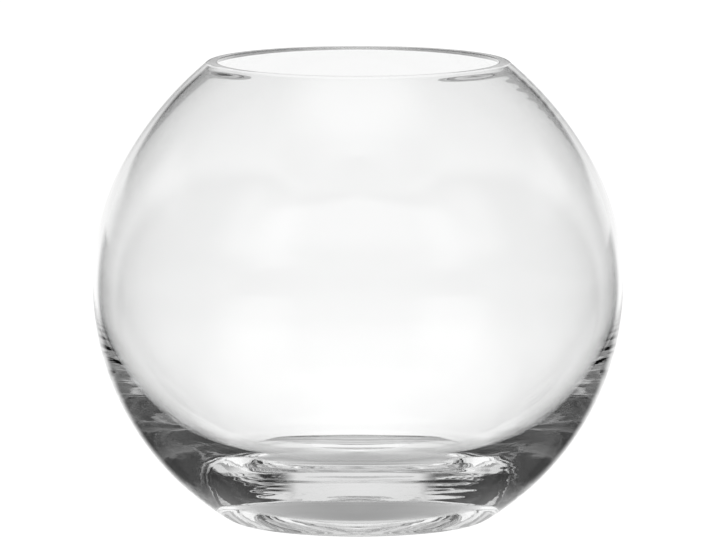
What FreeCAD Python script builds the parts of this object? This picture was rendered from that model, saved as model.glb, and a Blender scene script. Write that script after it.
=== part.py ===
import FreeCAD, Part
import math
import os
import Sketcher

# Rose bowl vase: one piece of clear glass, blown nearly round, with the mouth cut and
# ground flat and the thick bottom ground to a flat foot. Millimetres and degrees.
# The bowl's axis is +Z and the origin is the middle of the foot's flat face.

SIZES = (
    # alias, value, what it sets
    ("belly_radius", 100.5, "outside radius where the bowl is widest"),
    ("belly_height", 90.8, "height of the widest place above the foot"),
    ("foot_radius", 47.7, "radius where the wall would meet the foot if its edge were sharp"),
    ("foot_rounding", 10.0, "radius of the rounded edge of the foot"),
    ("upper_wall_radius", 95.0, "radius of the wall's curve just above the belly"),
    ("shoulder_lean", 30.5, "lean of the wall, in degrees, where the shoulder takes over"),
    ("shoulder_radius", 135.0, "radius of the flatter curve from there up to the rim"),
    ("rim_radius", 56.9, "outside radius of the rim"),
    ("rim_bevel", 0.5, "width of the small bevels on both edges of the ground rim"),
    ("wall_thickness", 2.5, "thickness of the wall from the rim to a little below the belly"),
    ("heel_drop", 2.0, "how far below the belly the wall begins to thicken"),
    ("heel_turn", 60.5, "degrees that the cavity turns there before it becomes the floor"),
    ("floor_thickness", 7.9, "thickness of the glass in the middle of the floor"),
    ("cut_overrun", 3.0, "how far the cavity's cut runs past the rim"),
)

SIZE = {alias: value for alias, value, _ in SIZES}

# The lower wall is one arc that stands upright at the belly and passes through the foot's edge.
LOWER_WALL_RADIUS = (
    "(((sizes.belly_radius - sizes.foot_radius) ^ 2 + sizes.belly_height ^ 2)"
    " / (2 * (sizes.belly_radius - sizes.foot_radius)))"
)

# Sketcher's numbers for the places on an edge, and for a sketch's own two axes
START, END, CENTRE = range(1, 4)
LEVEL_AXIS, UPRIGHT_AXIS = -START, -END
ORIGIN = (LEVEL_AXIS, START)

FULL_TURN = 360


def fill_sheet(doc):
    """Put the driving sizes in a sheet, one row each."""
    sheet = doc.addObject("Spreadsheet::Sheet", "sizes")
    for row, (alias, value, note) in enumerate(SIZES, start=1):
        sheet.set(f"A{row}", alias)
        sheet.set(f"B{row}", str(value))
        sheet.set(f"C{row}", note)
        sheet.setAlias(f"B{row}", alias)
    doc.recompute()


def on_arc(centre, radius, angle):
    """Point at an angle from the sketch's level direction, on a circle."""
    return centre + FreeCAD.Vector(radius * math.cos(angle), radius * math.sin(angle), 0)


class Outline:
    """A half section drawn on the body's own upright plane, with +Z upwards."""

    def __init__(self, body, name):
        self.sketch = body.newObject("Sketcher::SketchObject", name)
        planes = [feature for feature in body.Origin.OriginFeatures if feature.Role == "XZ_Plane"]
        self.sketch.AttachmentSupport = (planes[0], [""])
        self.sketch.MapMode = "FlatFace"

    def arc(self, centre, radius, start, end):
        """Arc that runs anticlockwise from start to end."""
        circle = Part.Circle(centre, FreeCAD.Vector(0, 0, 1), radius)
        return self.sketch.addGeometry(Part.ArcOfCircle(circle, start, end), False)

    def line(self, start, end):
        return self.sketch.addGeometry(Part.LineSegment(start, end), False)

    def tie(self, kind, *where):
        """Geometric constraint between edges, points or axes."""
        self.sketch.addConstraint(Sketcher.Constraint(kind, *where))

    def size(self, name, kind, *where, value, bound):
        """Dimension with a name, drawn at its value and bound to the sheet."""
        index = self.sketch.addConstraint(Sketcher.Constraint(kind, *where, value))
        self.sketch.renameConstraint(index, name)
        self.sketch.setExpression(f"Constraints.{name}", bound)

    def reading(self, name, kind, *where, value):
        """Dimension that only reads the finished drawing."""
        index = self.sketch.addConstraint(Sketcher.Constraint(kind, *where, value))
        self.sketch.setDriving(index, False)
        self.sketch.renameConstraint(index, name)


class Wall:
    """The three arcs of the bowl's side: lower wall, upper wall and shoulder.

    They run into each other smoothly, and the first two meet at the belly, where the
    side stands upright. An inset moves the whole curve inwards by the glass thickness."""

    def __init__(self, inset=None):
        depth = SIZE[inset] if inset else 0
        self.less = f" - sizes.{inset}" if inset else ""
        reach = SIZE["belly_radius"] - SIZE["foot_radius"]
        full_radius = (reach ** 2 + SIZE["belly_height"] ** 2) / (2 * reach)
        belly = FreeCAD.Vector(SIZE["belly_radius"], SIZE["belly_height"], 0)
        self.lean = math.radians(SIZE["shoulder_lean"])
        self.lower_centre = on_arc(belly, -full_radius, 0)
        self.lower_radius = full_radius - depth
        self.upper_centre = on_arc(belly, -SIZE["upper_wall_radius"], 0)
        self.upper_radius = SIZE["upper_wall_radius"] - depth
        centre_step = SIZE["upper_wall_radius"] - SIZE["shoulder_radius"]
        self.shoulder_centre = on_arc(self.upper_centre, centre_step, self.lean)
        self.shoulder_radius = SIZE["shoulder_radius"] - depth
        self.belly_reach = SIZE["belly_radius"] - depth

    def draw(self, outline, lower_start, shoulder_end):
        lower = outline.arc(self.lower_centre, self.lower_radius, lower_start, 0)
        upper = outline.arc(self.upper_centre, self.upper_radius, 0, self.lean)
        shoulder = outline.arc(self.shoulder_centre, self.shoulder_radius, self.lean, shoulder_end)
        outline.tie("Tangent", lower, END, upper, START)
        outline.tie("Tangent", upper, END, shoulder, START)
        outline.size("belly_reach", "DistanceX", *ORIGIN, upper, START,
                     value=self.belly_reach, bound="sizes.belly_radius" + self.less)
        outline.size("belly_level", "DistanceY", *ORIGIN, upper, START,
                     value=SIZE["belly_height"], bound="sizes.belly_height")
        outline.size("upper_centre_level", "DistanceY", *ORIGIN, upper, CENTRE,
                     value=SIZE["belly_height"], bound="sizes.belly_height")
        outline.size("lower_radius", "Radius", lower,
                     value=self.lower_radius, bound=LOWER_WALL_RADIUS + self.less)
        outline.size("upper_radius", "Radius", upper,
                     value=self.upper_radius, bound="sizes.upper_wall_radius" + self.less)
        outline.size("lean", "Angle", upper,
                     value=self.lean, bound="sizes.shoulder_lean * 1 deg")
        outline.size("shoulder_radius", "Radius", shoulder,
                     value=self.shoulder_radius, bound="sizes.shoulder_radius" + self.less)
        return lower, shoulder


def draw_outside(body):
    """Half section of the outer form, filled to the axis. Returns the rim's height too."""
    wall = Wall()
    outline = Outline(body, "outside_outline")
    foot_angle = -math.asin(SIZE["belly_height"] / wall.lower_radius)
    rim_angle = math.acos((SIZE["rim_radius"] - wall.shoulder_centre.x) / wall.shoulder_radius)
    foot_edge = on_arc(wall.lower_centre, wall.lower_radius, foot_angle)
    rim_edge = on_arc(wall.shoulder_centre, wall.shoulder_radius, rim_angle)
    foot_middle = FreeCAD.Vector(0, 0, 0)
    rim_middle = FreeCAD.Vector(0, rim_edge.y, 0)
    lower, shoulder = wall.draw(outline, foot_angle, rim_angle)
    foot = outline.line(foot_middle, foot_edge)
    rim = outline.line(rim_edge, rim_middle)
    axis = outline.line(rim_middle, foot_middle)
    outline.tie("Coincident", foot, START, *ORIGIN)
    outline.tie("Coincident", foot, END, lower, START)
    outline.tie("Coincident", shoulder, END, rim, START)
    outline.tie("Coincident", rim, END, axis, START)
    outline.tie("Coincident", axis, END, foot, START)
    outline.tie("Horizontal", foot)
    outline.tie("Horizontal", rim)
    outline.tie("Vertical", axis)
    outline.size("rim_reach", "DistanceX", *ORIGIN, rim, START,
                 value=SIZE["rim_radius"], bound="sizes.rim_radius")
    outline.reading("rim_level", "DistanceY", *ORIGIN, rim, START, value=rim_edge.y)
    return outline.sketch, rim_edge.y


def heel_and_floor(wall, heel_start, heel_end):
    """Radii of the two arcs that close the cavity between the wall and the axis."""
    wall_end = on_arc(wall.lower_centre, wall.lower_radius, heel_start)
    drop = wall_end.y - SIZE["floor_thickness"]
    heel_across = math.cos(heel_start) - math.cos(heel_end)
    heel_down = math.sin(heel_start) - math.sin(heel_end)
    floor_across = math.cos(heel_end)
    floor_down = 1 + math.sin(heel_end)
    spread = heel_across * floor_down - floor_across * heel_down
    heel_radius = (wall_end.x * floor_down - floor_across * drop) / spread
    floor_radius = (heel_across * drop - heel_down * wall_end.x) / spread
    return heel_radius, floor_radius


def draw_cavity(body, rim_height):
    """Half section of the space inside: parallel to the wall above, rounded off below."""
    wall = Wall("wall_thickness")
    outline = Outline(body, "cavity_outline")
    heel_start = -math.asin(SIZE["heel_drop"] / wall.lower_radius)
    heel_end = heel_start - math.radians(SIZE["heel_turn"])
    heel_radius, floor_radius = heel_and_floor(wall, heel_start, heel_end)
    wall_end = on_arc(wall.lower_centre, wall.lower_radius, heel_start)
    mouth_height = rim_height + SIZE["cut_overrun"]
    mouth_angle = math.asin((mouth_height - wall.shoulder_centre.y) / wall.shoulder_radius)
    mouth_edge = on_arc(wall.shoulder_centre, wall.shoulder_radius, mouth_angle)
    mouth_middle = FreeCAD.Vector(0, mouth_height, 0)
    floor_middle = FreeCAD.Vector(0, SIZE["floor_thickness"], 0)
    lower, shoulder = wall.draw(outline, heel_start, mouth_angle)
    heel = outline.arc(on_arc(wall_end, -heel_radius, heel_start), heel_radius, heel_end, heel_start)
    floor = outline.arc(floor_middle + FreeCAD.Vector(0, floor_radius, 0), floor_radius,
                        -math.pi / 2, heel_end)
    mouth = outline.line(mouth_edge, mouth_middle)
    axis = outline.line(mouth_middle, floor_middle)
    outline.tie("Tangent", heel, END, lower, START)
    outline.tie("Tangent", floor, END, heel, START)
    outline.tie("Coincident", shoulder, END, mouth, START)
    outline.tie("Coincident", mouth, END, axis, START)
    outline.tie("Coincident", axis, END, floor, START)
    outline.tie("Horizontal", mouth)
    outline.tie("PointOnObject", axis, START, UPRIGHT_AXIS)
    outline.tie("PointOnObject", axis, END, UPRIGHT_AXIS)
    outline.tie("PointOnObject", floor, CENTRE, UPRIGHT_AXIS)
    outline.size("heel_drop", "DistanceY", lower, START, lower, END,
                 value=SIZE["heel_drop"], bound="sizes.heel_drop")
    outline.size("heel_turn", "Angle", heel,
                 value=math.radians(SIZE["heel_turn"]), bound="sizes.heel_turn * 1 deg")
    outline.size("floor_level", "DistanceY", *ORIGIN, axis, END,
                 value=SIZE["floor_thickness"], bound="sizes.floor_thickness")
    outline.size("mouth_level", "DistanceY", *ORIGIN, mouth, START, value=mouth_height,
                 bound="outside_outline.Constraints.rim_level + sizes.cut_overrun * 1 mm")
    return outline.sketch


def turn_about_axis(body, kind, name, sketch):
    """Revolution or Groove: the outline turned once round the bowl's axis."""
    feature = body.newObject(kind, name)
    feature.Profile = sketch
    feature.ReferenceAxis = (sketch, ["V_Axis"])
    feature.Angle = FULL_TURN
    return feature


def circles_at(shape, height, slack=1e-4):
    """Names of the round edges of a shape that lie level at a height."""
    names = []
    for number, edge in enumerate(shape.Edges, start=1):
        box = edge.BoundBox
        if abs(box.ZMin - height) < slack and abs(box.ZMax - height) < slack:
            names.append(f"Edge{number}")
    return names


def make_bowl(doc):
    """The glass bowl: outer form, cavity, ground rim and rounded foot."""
    body = doc.addObject("PartDesign::Body", "glass_bowl")
    body.Label = "glass_bowl"
    outside, rim_height = draw_outside(body)
    blank = turn_about_axis(body, "PartDesign::Revolution", "blown_form", outside)
    doc.recompute()
    cavity = draw_cavity(body, rim_height)
    hollow = turn_about_axis(body, "PartDesign::Groove", "hollow", cavity)
    doc.recompute()
    if hollow.Shape.Volume >= blank.Shape.Volume:
        raise RuntimeError("the cavity did not cut the blown form")

    foot = body.newObject("PartDesign::Fillet", "foot_edge")
    foot.Base = (hollow, circles_at(hollow.Shape, 0))
    foot.setExpression("Radius", "sizes.foot_rounding")
    doc.recompute()

    rim = body.newObject("PartDesign::Chamfer", "ground_rim")
    rim.Base = (foot, circles_at(foot.Shape, rim_height))
    rim.setExpression("Size", "sizes.rim_bevel")
    doc.recompute()
    return body


def check(doc, bodies):
    """Stop before anything is written if an object failed or a shape is unsound."""
    for item in doc.Objects:
        if "Invalid" in item.State or "Error" in item.State:
            raise RuntimeError(f"{item.Label} failed: {item.State}")
    for body in bodies:
        shape = body.Shape
        if shape.isNull() or not shape.isValid() or len(shape.Solids) != 1:
            raise RuntimeError(f"{body.Label} is not one sound solid")


doc = FreeCAD.newDocument("rose_bowl")
fill_sheet(doc)
bodies = [make_bowl(doc)]
check(doc, bodies)

os.makedirs("parts", exist_ok=True)
for body in bodies:
    body.Shape.exportStep(os.path.join("parts", body.Label + ".step"))
    box = body.Shape.BoundBox
    print(f"{body.Label}: {box.XLength:.2f} x {box.YLength:.2f} x {box.ZLength:.2f} mm,"
          f" {body.Shape.Volume / 1000:.1f} cubic cm")
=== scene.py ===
import math

import bpy
import numpy as np
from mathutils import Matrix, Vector


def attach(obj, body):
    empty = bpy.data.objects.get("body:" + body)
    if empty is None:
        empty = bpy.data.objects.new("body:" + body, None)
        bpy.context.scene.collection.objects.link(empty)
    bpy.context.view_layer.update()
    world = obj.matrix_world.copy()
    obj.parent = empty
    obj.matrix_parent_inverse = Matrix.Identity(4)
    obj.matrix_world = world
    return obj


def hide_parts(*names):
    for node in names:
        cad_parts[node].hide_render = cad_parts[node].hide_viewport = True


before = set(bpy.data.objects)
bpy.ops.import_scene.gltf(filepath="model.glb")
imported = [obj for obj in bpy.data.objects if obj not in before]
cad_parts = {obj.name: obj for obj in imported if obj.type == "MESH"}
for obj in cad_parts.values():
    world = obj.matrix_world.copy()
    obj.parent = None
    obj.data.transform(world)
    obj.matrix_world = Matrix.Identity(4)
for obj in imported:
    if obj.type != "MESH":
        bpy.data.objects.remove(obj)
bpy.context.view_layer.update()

# The bowl. One gather of clear soda glass, blown into a turned mould, cracked off at the mouth
# and ground flat there and under the foot. The wall is thin and even, and the glass that sank
# to the bottom of the mould makes the thick base. Sizes in metres, angles in degrees.

BELLY_RADIUS = 0.1005
BELLY_HEIGHT = 0.0908
FOOT_RADIUS = 0.0477
FOOT_ROUNDING = 0.00985
UPPER_WALL_RADIUS = 0.095
SHOULDER_LEAN = 30.5
SHOULDER_RADIUS = 0.135
RIM_RADIUS = 0.0569
RIM_BEVEL = 0.0005
WALL_THICKNESS = 0.0025
CAVITY_LINE = [  # the inside below the belly, down to the middle of the floor
    (0.09634, 0.07381), (0.09222, 0.06084), (0.08590, 0.04890), (0.07771, 0.03838),
    (0.06774, 0.02980), (0.05737, 0.02243), (0.04662, 0.01620), (0.03479, 0.01267),
    (0.02006, 0.01034), (0, 0.00773)]

PROFILE_STEP = 0.0006
ROUNDING_STEPS = 8
TURNS = 512


def toward(turn):
    """Unit step in the half section, at a turn above level."""
    return np.array([math.cos(turn), math.sin(turn)])


def along(centre, radius, start, end):
    """Points of an arc of the profile, radius first and height second."""
    count = max(ROUNDING_STEPS, math.ceil(abs(end - start) * radius / PROFILE_STEP))
    angles = np.linspace(start, end, count + 1)
    return np.array(centre) + radius * np.stack([np.cos(angles), np.sin(angles)], axis=1)


def straight(start, end):
    """Points of a straight stretch of the profile."""
    count = max(2, math.ceil(math.dist(start, end) / PROFILE_STEP))
    shares = np.linspace(0, 1, count + 1)[:, None]
    return np.array(start) * (1 - shares) + np.array(end) * shares


def flowing(points, start_heading, end_heading):
    """Points of one smooth line through the given ones, which leaves and arrives as told."""
    points = np.array(points, dtype=float)
    spans = np.linalg.norm(np.diff(points, axis=0), axis=1)
    weights, pulls = np.eye(len(points)), np.zeros((len(points), 2))
    pulls[0], pulls[-1] = start_heading, end_heading
    for i in range(1, len(points) - 1):
        before, after = spans[i - 1], spans[i]
        weights[i, i - 1:i + 2] = after, 2 * (before + after), before
        pulls[i] = 3 * (after * (points[i] - points[i - 1]) / before
                        + before * (points[i + 1] - points[i]) / after)
    headings = np.linalg.solve(weights, pulls)
    line = [points[:1]]
    for i, span in enumerate(spans):
        t = np.linspace(0, 1, max(2, math.ceil(span / PROFILE_STEP)) + 1)[1:, None]
        first = 2 * t ** 3 - 3 * t ** 2 + 1
        leaving = t ** 3 - 2 * t ** 2 + t
        last = 3 * t ** 2 - 2 * t ** 3
        arriving = t ** 3 - t ** 2
        line.append(first * points[i] + leaving * span * headings[i]
                    + last * points[i + 1] + arriving * span * headings[i + 1])
    return np.concatenate(line)


def bowl_profile():
    """Half section of the glass, from the middle of the foot out, up, over the rim and down."""
    reach = BELLY_RADIUS - FOOT_RADIUS
    lower_radius = (reach ** 2 + BELLY_HEIGHT ** 2) / (2 * reach)
    lower = np.array([BELLY_RADIUS - lower_radius, BELLY_HEIGHT])
    upper = np.array([BELLY_RADIUS - UPPER_WALL_RADIUS, BELLY_HEIGHT])
    lean = math.radians(SHOULDER_LEAN)
    shoulder = upper + (UPPER_WALL_RADIUS - SHOULDER_RADIUS) * toward(lean)
    rim_turn = math.acos((RIM_RADIUS - shoulder[0]) / SHOULDER_RADIUS)
    rim_height = shoulder[1] + SHOULDER_RADIUS * math.sin(rim_turn)

    rounding_turn = -math.asin((BELLY_HEIGHT - FOOT_ROUNDING) / (lower_radius - FOOT_ROUNDING))
    rounding = lower + (lower_radius - FOOT_ROUNDING) * toward(rounding_turn)

    inner_shoulder_radius = SHOULDER_RADIUS - WALL_THICKNESS
    inner_rim_turn = math.asin((rim_height - shoulder[1]) / inner_shoulder_radius)
    inner_rim = shoulder[0] + inner_shoulder_radius * math.cos(inner_rim_turn)
    inner_start = inner_rim_turn - RIM_BEVEL / inner_shoulder_radius
    outside = [
        straight((0, 0), (rounding[0], 0)),
        along(rounding, FOOT_ROUNDING, -math.pi / 2, rounding_turn),
        along(lower, lower_radius, rounding_turn, 0),
        along(upper, UPPER_WALL_RADIUS, 0, lean),
        along(shoulder, SHOULDER_RADIUS, lean, rim_turn - RIM_BEVEL / SHOULDER_RADIUS),
    ]
    inside = [
        along(shoulder, inner_shoulder_radius, inner_start, lean),
        along(upper, UPPER_WALL_RADIUS - WALL_THICKNESS, lean, 0),
        flowing([(BELLY_RADIUS - WALL_THICKNESS, BELLY_HEIGHT), *CAVITY_LINE], (0, -1), (-1, 0)),
    ]
    rim_face = [(RIM_RADIUS - RIM_BEVEL, rim_height), (inner_rim + RIM_BEVEL, rim_height)]
    bevel_out = straight(outside[-1][-1], rim_face[0])
    bevel_in = straight(rim_face[1], inside[0][0])
    stretches = [*outside, bevel_out, straight(*rim_face), bevel_in, *inside]
    return np.concatenate([stretches[0], *[stretch[1:] for stretch in stretches[1:]]])


# Waves that the mould and the gather leave in the glass. Level cords in the thick bottom, as
# wavelength, steepness, swells round the bowl and phase. Ripples under the lip on one side, as
# wavelength and steepness. Two sags of the lip in front, as bearing, breadth and thickness.
CORDS = [
    (0.0061, 0.0034, 1, 0.4),
    (0.0043, 0.0052, 2, 2.1),
    (0.0031, 0.0064, 3, 4.4),
    (0.0022, 0.0064, 1, 5.3),
]
CORDS_TOP = 0.052
CORDS_FADE = 0.5
CORD_SWELL = 0.4
CORD_DRIFT = 0.7
CORD_WANDER = 0.5
GROUND_TO = 0.00001
LIP_WAVE = (0.0046, 0.011)
LIP_WAVE_START = 0.004
LIP_WAVE_DEPTH = 0.030
LIP_WAVE_SPREAD = 0.5
LIP_SAGS = [(-148, 12, 0.00038), (-42, 15, 0.00038)]
LIP_SAG_DEPTH = 0.0014
LIP_SAG_WIDTH = 0.0009
LIP_SAG_START = 0.0004
LIP_SAG_RUN_IN = 0.0006


def waves(travelled, rings, angles):
    """Lift of the surface for each ring and angle, from the cords, the ripples and the sags."""
    height = rings[:, 1:]
    low = np.clip(1 - height / CORDS_TOP, 0, 1) ** CORDS_FADE * (height > GROUND_TO)
    lift = np.zeros((len(rings), len(angles)))
    for length, steepness, lobes, phase in CORDS:
        size = steepness * length / (2 * math.pi)
        swell = 1 - CORD_SWELL + CORD_SWELL * np.cos(lobes * angles + phase)
        drift = CORD_DRIFT * np.cos(angles + phase) + CORD_WANDER * np.cos(3 * angles + 2 * phase)
        lift += low * size * swell * np.sin(2 * math.pi * travelled / length + phase + drift)

    length, steepness = LIP_WAVE
    depth = height.max() - height
    near = np.clip(1 - depth / LIP_WAVE_DEPTH, 0, 1) * np.clip(depth / LIP_WAVE_START, 0, 1)
    side = np.exp(-((angles + math.pi) % (2 * math.pi) - math.pi) ** 2 / LIP_WAVE_SPREAD)
    ripple = np.cos(2 * math.pi * travelled / length)
    lift += near * side * steepness * length / (2 * math.pi) * ripple

    begun = np.clip((depth - LIP_SAG_START) / LIP_SAG_RUN_IN, 0, 1)
    sunk = begun * np.exp(-((depth - LIP_SAG_DEPTH) / LIP_SAG_WIDTH) ** 2)
    for bearing, breadth, sag in LIP_SAGS:
        aside = (np.degrees(angles) - bearing + 180) % 360 - 180
        lift += sag * sunk * np.exp(-(aside / breadth) ** 2)
    return lift


def turned(name, profile, turns, lifting):
    """Closed mesh of a profile turned once about its axis, with its surface lifted by waves."""
    profile = np.array(profile)
    profile[0, 0] = profile[-1, 0] = 0
    rings = profile[1:-1]
    angles = np.arange(turns) * 2 * math.pi / turns
    headings = np.gradient(profile, axis=0)[1:-1]
    headings /= np.linalg.norm(headings, axis=1, keepdims=True)
    travelled = np.cumsum(np.linalg.norm(np.diff(profile, axis=0), axis=1))[:-1]
    lift = lifting(travelled[:, None], rings, angles)
    reach = rings[:, None, 0] + headings[:, None, 1] * lift
    places = np.stack([
        reach * np.cos(angles),
        reach * np.sin(angles),
        rings[:, None, 1] - headings[:, None, 0] * lift,
    ], axis=2).reshape(-1, 3)
    ends = np.array([[0, 0, profile[0, 1]], [0, 0, profile[-1, 1]]])
    first, last = len(places), len(places) + 1
    here = np.arange(turns)
    after = (here + 1) % turns
    rows = (np.arange(len(rings) - 1) * turns)[:, None]
    quads = np.stack([rows + here, rows + after, rows + turns + after, rows + turns + here], axis=2)
    top = (len(rings) - 1) * turns
    faces = [*quads.reshape(-1, 4).tolist(),
             *[(first, int(b), int(a)) for a, b in zip(here, after)],
             *[(last, top + int(a), top + int(b)) for a, b in zip(here, after)]]
    mesh = bpy.data.meshes.new(name)
    mesh.from_pydata(np.concatenate([places, ends]).tolist(), [], faces)
    mesh.shade_smooth()
    piece = bpy.data.objects.new(name, mesh)
    bpy.context.scene.collection.objects.link(piece)
    return piece


class Shade:
    """One output of a node. Sums, products and quotients of shades add Math nodes."""

    def __init__(self, tree, output=None):
        self.tree, self.output = tree, output

    def node(self, kind, settings=None, sockets=None, output=0):
        """Adds a node: its settings first, then the values or links of its sockets."""
        made = self.tree.nodes.new(kind)
        for name, value in (settings or {}).items():
            setattr(made, name, value)
        for name, value in (sockets or {}).items():
            if isinstance(value, Shade):
                self.tree.links.new(value.output, made.inputs[name])
            else:
                made.inputs[name].default_value = value
        return Shade(self.tree, made.outputs[output] if made.outputs else None)

    def math(self, operation, *values):
        """A Math node of the values, which are numbers or shades."""
        return self.node("ShaderNodeMath", {"operation": operation}, dict(enumerate(values)))

    def most(self, *others):
        """The largest of this shade and the others."""
        top = self
        for other in others:
            top = self.math("MAXIMUM", top, other)
        return top

    def __add__(self, other):
        return self.math("ADD", self, other)

    def __sub__(self, other):
        return self.math("SUBTRACT", self, other)

    def __rsub__(self, other):
        return self.math("SUBTRACT", other, self)

    def __mul__(self, other):
        return self.math("MULTIPLY", self, other)

    def __truediv__(self, other):
        return self.math("DIVIDE", self, other)

    __radd__, __rmul__ = __add__, __mul__

    def rise(self, low, high):
        """Smooth step from 0 at low to 1 at high."""
        return self.node("ShaderNodeMapRange", {"interpolation_type": "SMOOTHSTEP"}, {
            "Value": self, "From Min": low, "From Max": high, "To Min": 0, "To Max": 1})

    def part(self, name):
        """Another output of the same node."""
        return Shade(self.tree, self.output.node.outputs[name])


RIM_FACE = 0.1743
RIM_FADE = 0.0002
RIM_ROUGHNESS = 0.06
FOOT_FACE = 0.00003
FOOT_ROUGHNESS = 0.02
WEAR_SCALE = 260
WEAR_LEAST = 0.6
WEAR_RANGE = 0.8
CLEAREST = (1, 1, 1, 1)
LEAST_CLEAR = (0.992, 0.996, 0.994, 1)
STREAK_SCALE = 22
STREAK_STRETCH = (1, 1, 9)
SKIN_STRENGTH = 0.25
SKIN_DEPTH = 0.00001
GLASS_IOR = 1.5


def clear_glass():
    """Colourless soda glass, fire polished, with the rim and the foot left satin by the wheel."""
    finish = bpy.data.materials.new("clear_soda_glass")
    finish.use_nodes = True
    finish.node_tree.nodes.clear()
    start = Shade(finish.node_tree)
    place = start.node("ShaderNodeTexCoord", output="Object")
    height = start.node("ShaderNodeSeparateXYZ", {}, {"Vector": place}, "Z")
    drawn = start.node("ShaderNodeMapping", {}, {"Vector": place, "Scale": STREAK_STRETCH})
    streaks = start.node("ShaderNodeTexNoise", {}, {
        "Vector": drawn, "Scale": STREAK_SCALE, "Detail": 3})
    tint = start.node("ShaderNodeMix", {"data_type": "RGBA"}, {
        6: CLEAREST, 7: LEAST_CLEAR, 0: streaks}, 2)
    rim = height.rise(RIM_FACE, RIM_FACE + RIM_FADE)
    foot = 1 - height.rise(0, FOOT_FACE)
    wear = start.node("ShaderNodeTexNoise", {}, {
        "Vector": place, "Scale": WEAR_SCALE, "Detail": 2})
    satin = (rim * RIM_ROUGHNESS + foot * FOOT_ROUGHNESS) * (WEAR_LEAST + WEAR_RANGE * wear)
    skin = start.node("ShaderNodeBump", {}, {
        "Strength": SKIN_STRENGTH, "Distance": SKIN_DEPTH, "Height": streaks})
    glass = start.node("ShaderNodeBsdfPrincipled", {}, {
        "Base Color": tint, "Roughness": satin, "Normal": skin,
        "IOR": GLASS_IOR, "Transmission Weight": 1})
    start.node("ShaderNodeOutputMaterial", {}, {"Surface": glass})
    return finish


bowl = turned("bowl", bowl_profile(), TURNS, waves)
bowl.data.materials.append(clear_glass())
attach(bowl, "root")
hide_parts("glass_bowl")

# The studio. A panel and a low sweep glow behind the bowl, with lamps above and a strip on each
# side. A soft light and two windows stand on the camera's side. The dark walls between them draw
# the dark edges in the thick glass. The pairs are the degrees between which an edge fades.

SWEEP_LIGHT = 0.75
SWEEP_MIDDLE = 0.4
SWEEP_INNER = (9, 17)
SWEEP_OUTER = (26, 44)
SWEEP_TOP = (6, 9.5)
PANEL_LIGHT = 0.74
PANEL_FADE = 0.55
PANEL_EDGE = (13, 18)
PANEL_FOOT = (3, 6)
PANEL_TOP = (17, 38)
REAR_LAMP = 0.6
REAR_EDGE = (30, 40)
REAR_FOOT = (44, 58)
OVERHEAD = 0.56
OVERHEAD_EDGE = (60, 75)
OVERHEAD_MIDDLE = 0.24
OVERHEAD_MIDDLE_EDGE = (70, 80)
FRONT_LIGHT = 0.3
FRONT_EDGE = (130, 160)
STRIP_LIGHT = 0.32
STRIP_INNER = (45, 58)
STRIP_OUTER = (78, 92)
STRIP_FOOT = (14, 22)
STRIP_TOP = (26, 34)
WALL_LIGHT = 0.03
LOW_GLOW = 0.1
LOW_GLOW_TOP = (0, 9)
WINDOWS = [(-131, 0.68), (127, 0.62)]  # bearing and level
WINDOW_BELOW = 0.2
WINDOW_EDGE = (8, 27)
WINDOW_FOOT = (9, 20)
WINDOW_TOP = (34, 54)


def studio_light():
    """Light that comes from each direction. Azimuth 0 lies behind the bowl, and 90 to the right."""
    room = bpy.data.worlds.new("studio_room")
    room.use_nodes = True
    room.node_tree.nodes.clear()
    start = Shade(room.node_tree)
    direction = start.node("ShaderNodeTexCoord", output="Generated")
    side = start.node("ShaderNodeSeparateXYZ", {}, {"Vector": direction}, "X")
    azimuth = side.math("ARCTAN2", side, side.part("Y")) * (180 / math.pi)
    upward = side.math("ARCSINE", side.part("Z")) * (180 / math.pi)
    away = azimuth.math("ABSOLUTE", azimuth)
    sweep = SWEEP_MIDDLE + (1 - SWEEP_MIDDLE) * away.rise(*SWEEP_INNER) - away.rise(*SWEEP_OUTER)
    sweep = sweep * (1 - upward.rise(*SWEEP_TOP)) * SWEEP_LIGHT
    panel = (1 - away.rise(*PANEL_EDGE)) * upward.rise(*PANEL_FOOT)
    panel = panel * (1 - upward.rise(*PANEL_TOP) * PANEL_FADE) * PANEL_LIGHT
    rear = (1 - away.rise(*REAR_EDGE)) * upward.rise(*REAR_FOOT) * REAR_LAMP
    overhead = upward.rise(*OVERHEAD_EDGE) * OVERHEAD
    overhead = overhead + upward.rise(*OVERHEAD_MIDDLE_EDGE) * OVERHEAD_MIDDLE
    front = away.rise(*FRONT_EDGE) * FRONT_LIGHT
    strips = away.rise(*STRIP_INNER) - away.rise(*STRIP_OUTER)
    strips = strips * (upward.rise(*STRIP_FOOT) - upward.rise(*STRIP_TOP)) * STRIP_LIGHT
    light = sweep.most(panel, rear, overhead, front, strips)
    light = light + WALL_LIGHT + LOW_GLOW * (1 - upward.rise(*LOW_GLOW_TOP))
    for bearing, level in WINDOWS:
        across = azimuth.math("ABSOLUTE", azimuth - bearing)
        tall = WINDOW_BELOW + (1 - WINDOW_BELOW) * upward.rise(*WINDOW_FOOT)
        tall = tall * (1 - upward.rise(*WINDOW_TOP))
        light = light + (1 - across.rise(*WINDOW_EDGE)) * tall * level
    lamp = start.node("ShaderNodeBackground", {}, {"Color": (1, 1, 1, 1), "Strength": light})
    start.node("ShaderNodeOutputWorld", {}, {"Surface": lamp})
    return room


bpy.context.scene.world = studio_light()

# The paper that the bowl stands on glows, with light and shade painted into the glow. A painted
# pool of light widens behind the bowl as a pale wedge, another fades in front of it with a painted
# gleam, and painted shade dims the flanks. A painted shadow lies under the foot, palest toward the
# back. Seen directly, the paper round the bowl is white. Bearings are in degrees, and
# distances in metres.

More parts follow.
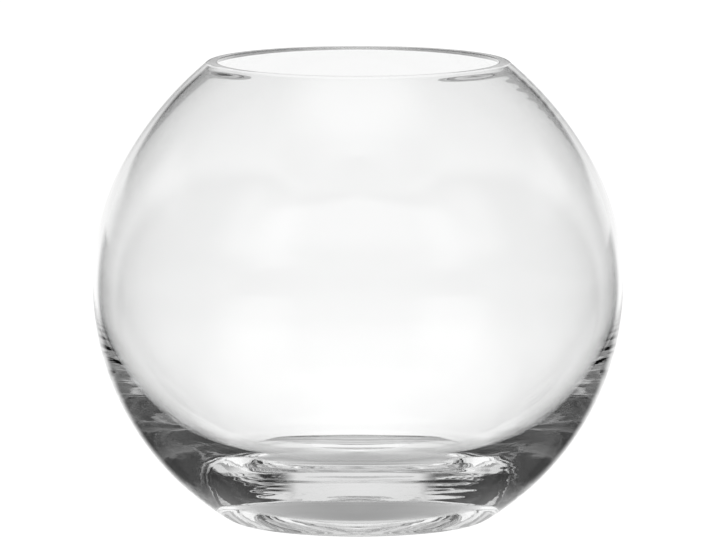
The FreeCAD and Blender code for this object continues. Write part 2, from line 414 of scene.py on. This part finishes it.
WHITE = 1.08
WHITE_EDGE = (0.16, 0.9)
WEDGE_HALF_WIDTH = 0.06
WEDGE_SPREAD = 0.5
WEDGE_SIDES = (0.82, 1.32)
WEDGE_FRONT = (-0.08, 0)
BACK_LIGHT = 1.07
BACK_NEAR_FADE = 0.05
BACK_NEAR_EDGE = (0.3, 0.7)
BACK_FAR_FADE = 0.09
BACK_FAR_EDGE = (0.9, 2.2)
POOL_LIGHT = 0.86
POOL_SIDES = (106, 140)
POOL_START = (0.046, 0.086)
POOL_OVAL = 0.050
POOL_FADE = 0.46
POOL_FADE_EDGE = (0.12, 0.7)
GLEAM = 0.2
GLEAM_OUTER = (118, 136)
GLEAM_INNER = (146, 166)
GLEAM_START = (0.4, 0.9)
FLANK_LIGHT = 0.02
FLANK_NEAR = 0.06
FLANK_NEAR_EDGE = (0.12, 0.2)
FLANK_FAR = 0.14
FLANK_FAR_EDGE = (0.5, 1.6)
UNDER_LIGHT = 0.74
UNDER_SLOPE = 0.38
UNDER_EDGE = (0.050, 0.062)
SHEET_HALF_WIDTH = 12
SHEET_GAP = 0.0003


def paper_painted_light():
    """Glowing paper with painted light and shade: white behind the bowl, and dim left and right
    with painted shade, as if the walls shaded it.
    """
    paper = bpy.data.materials.new("paper_painted_light")
    paper.use_nodes = True
    paper.node_tree.nodes.clear()
    start = Shade(paper.node_tree)
    place = start.node("ShaderNodeTexCoord", output="Object")
    side = start.node("ShaderNodeSeparateXYZ", {}, {"Vector": place}, "X")
    azimuth = side.math("ARCTAN2", side, side.part("Y")) * (180 / math.pi)
    away = azimuth.math("ABSOLUTE", azimuth)
    reach = start.node("ShaderNodeVectorMath", {"operation": "LENGTH"}, {"Vector": place}, "Value")
    behind = side.part("Y").most(0)
    aside = side.math("ABSOLUTE", side)
    # Painted light: a pale wedge behind the bowl, as if lamps lit the paper there.
    wedge = 1 - (aside / (WEDGE_HALF_WIDTH + WEDGE_SPREAD * behind)).rise(*WEDGE_SIDES)
    wedge = wedge * side.part("Y").rise(*WEDGE_FRONT)
    back = BACK_LIGHT - BACK_NEAR_FADE * reach.rise(*BACK_NEAR_EDGE)
    back = wedge * (back - BACK_FAR_FADE * reach.rise(*BACK_FAR_EDGE))
    # Painted light: a pool of light that fades in front of the bowl, with a painted gleam across
    # it.
    pool = away.rise(*POOL_SIDES) * (reach - POOL_OVAL * aside / reach).rise(*POOL_START)
    gleam = GLEAM * away.rise(*GLEAM_OUTER) * (1 - away.rise(*GLEAM_INNER))
    gleam = gleam * reach.rise(*GLEAM_START)
    pool = pool * (POOL_LIGHT - POOL_FADE * reach.rise(*POOL_FADE_EDGE) + gleam)
    # Painted shade: the flanks are dim, as if the dark walls shaded them.
    painted_flank_shade = FLANK_LIGHT + FLANK_NEAR * (1 - reach.rise(*FLANK_NEAR_EDGE))
    painted_flank_shade = painted_flank_shade + FLANK_FAR * reach.rise(*FLANK_FAR_EDGE)
    # The painted light and shade of the paper away from the foot: the brightest of wedge, pool and
    # flank.
    painted_paper_light = back.most(pool, painted_flank_shade)
    # Painted shadow under the foot, darkest toward the front and palest toward the back.
    facing = azimuth.math("COSINE", azimuth * (math.pi / 180))
    painted_foot_shadow = UNDER_LIGHT + UNDER_SLOPE * facing
    painted_light_and_shade = painted_paper_light + (1 - reach.rise(*UNDER_EDGE)) * (painted_foot_shadow - painted_paper_light)
    # Seen directly, the paper is white; every other ray sees its painted light and shade.
    direct = start.node("ShaderNodeLightPath", output="Is Camera Ray")
    seen = direct * (1 - reach.rise(*WHITE_EDGE)).most(wedge)
    strength = painted_light_and_shade + seen * (WHITE - painted_light_and_shade)
    glow = start.node("ShaderNodeEmission", {}, {"Color": (1, 1, 1, 1), "Strength": strength})
    start.node("ShaderNodeOutputMaterial", {}, {"Surface": glow})
    return paper


# The sheet glows with the paper's painted light and shade.
corners = [(x * SHEET_HALF_WIDTH, y * SHEET_HALF_WIDTH, -SHEET_GAP)
           for x, y in ((-1, -1), (1, -1), (1, 1), (-1, 1))]
sheet_mesh = bpy.data.meshes.new("pale_sheet")
sheet_mesh.from_pydata(corners, [], [(0, 1, 2, 3)])
sheet_mesh.materials.append(paper_painted_light())
sheet = bpy.data.objects.new("pale_sheet", sheet_mesh)
bpy.context.scene.collection.objects.link(sheet)

# The camera: a long lens on a stand four metres away, 7.2 degrees above the level of the bowl's
# middle. Light may cross the glass often, or the rim and the thick base turn black.

CAMERA_DISTANCE = 4.0
CAMERA_ELEVATION = 7.2
CAMERA_AIM_HEIGHT = 0.0952
CAMERA_HEIGHT_FROM = 0.087
SENSOR_WIDTH = 36
FOCAL_LENGTH_IN_WIDTHS = 10560 / 716
BOUNCES = 96

view = bpy.data.cameras.new("studio_camera")
view.sensor_width = SENSOR_WIDTH
view.lens = FOCAL_LENGTH_IN_WIDTHS * SENSOR_WIDTH
view.clip_end = 100
camera = bpy.data.objects.new("studio_camera", view)
tilt = math.radians(CAMERA_ELEVATION)
camera_height = CAMERA_HEIGHT_FROM + CAMERA_DISTANCE * math.sin(tilt)
camera.location = (0, -CAMERA_DISTANCE * math.cos(tilt), camera_height)
aim = Vector((0, 0, CAMERA_AIM_HEIGHT)) - camera.location
camera.rotation_mode = "QUATERNION"
camera.rotation_quaternion = aim.to_track_quat("-Z", "Y")
bpy.context.scene.collection.objects.link(camera)
bpy.context.scene.camera = camera

bpy.context.scene.view_settings.view_transform = "Standard"
bpy.context.scene.cycles.max_bounces = BOUNCES
bpy.context.scene.cycles.transmission_bounces = BOUNCES
bpy.context.scene.cycles.glossy_bounces = BOUNCES
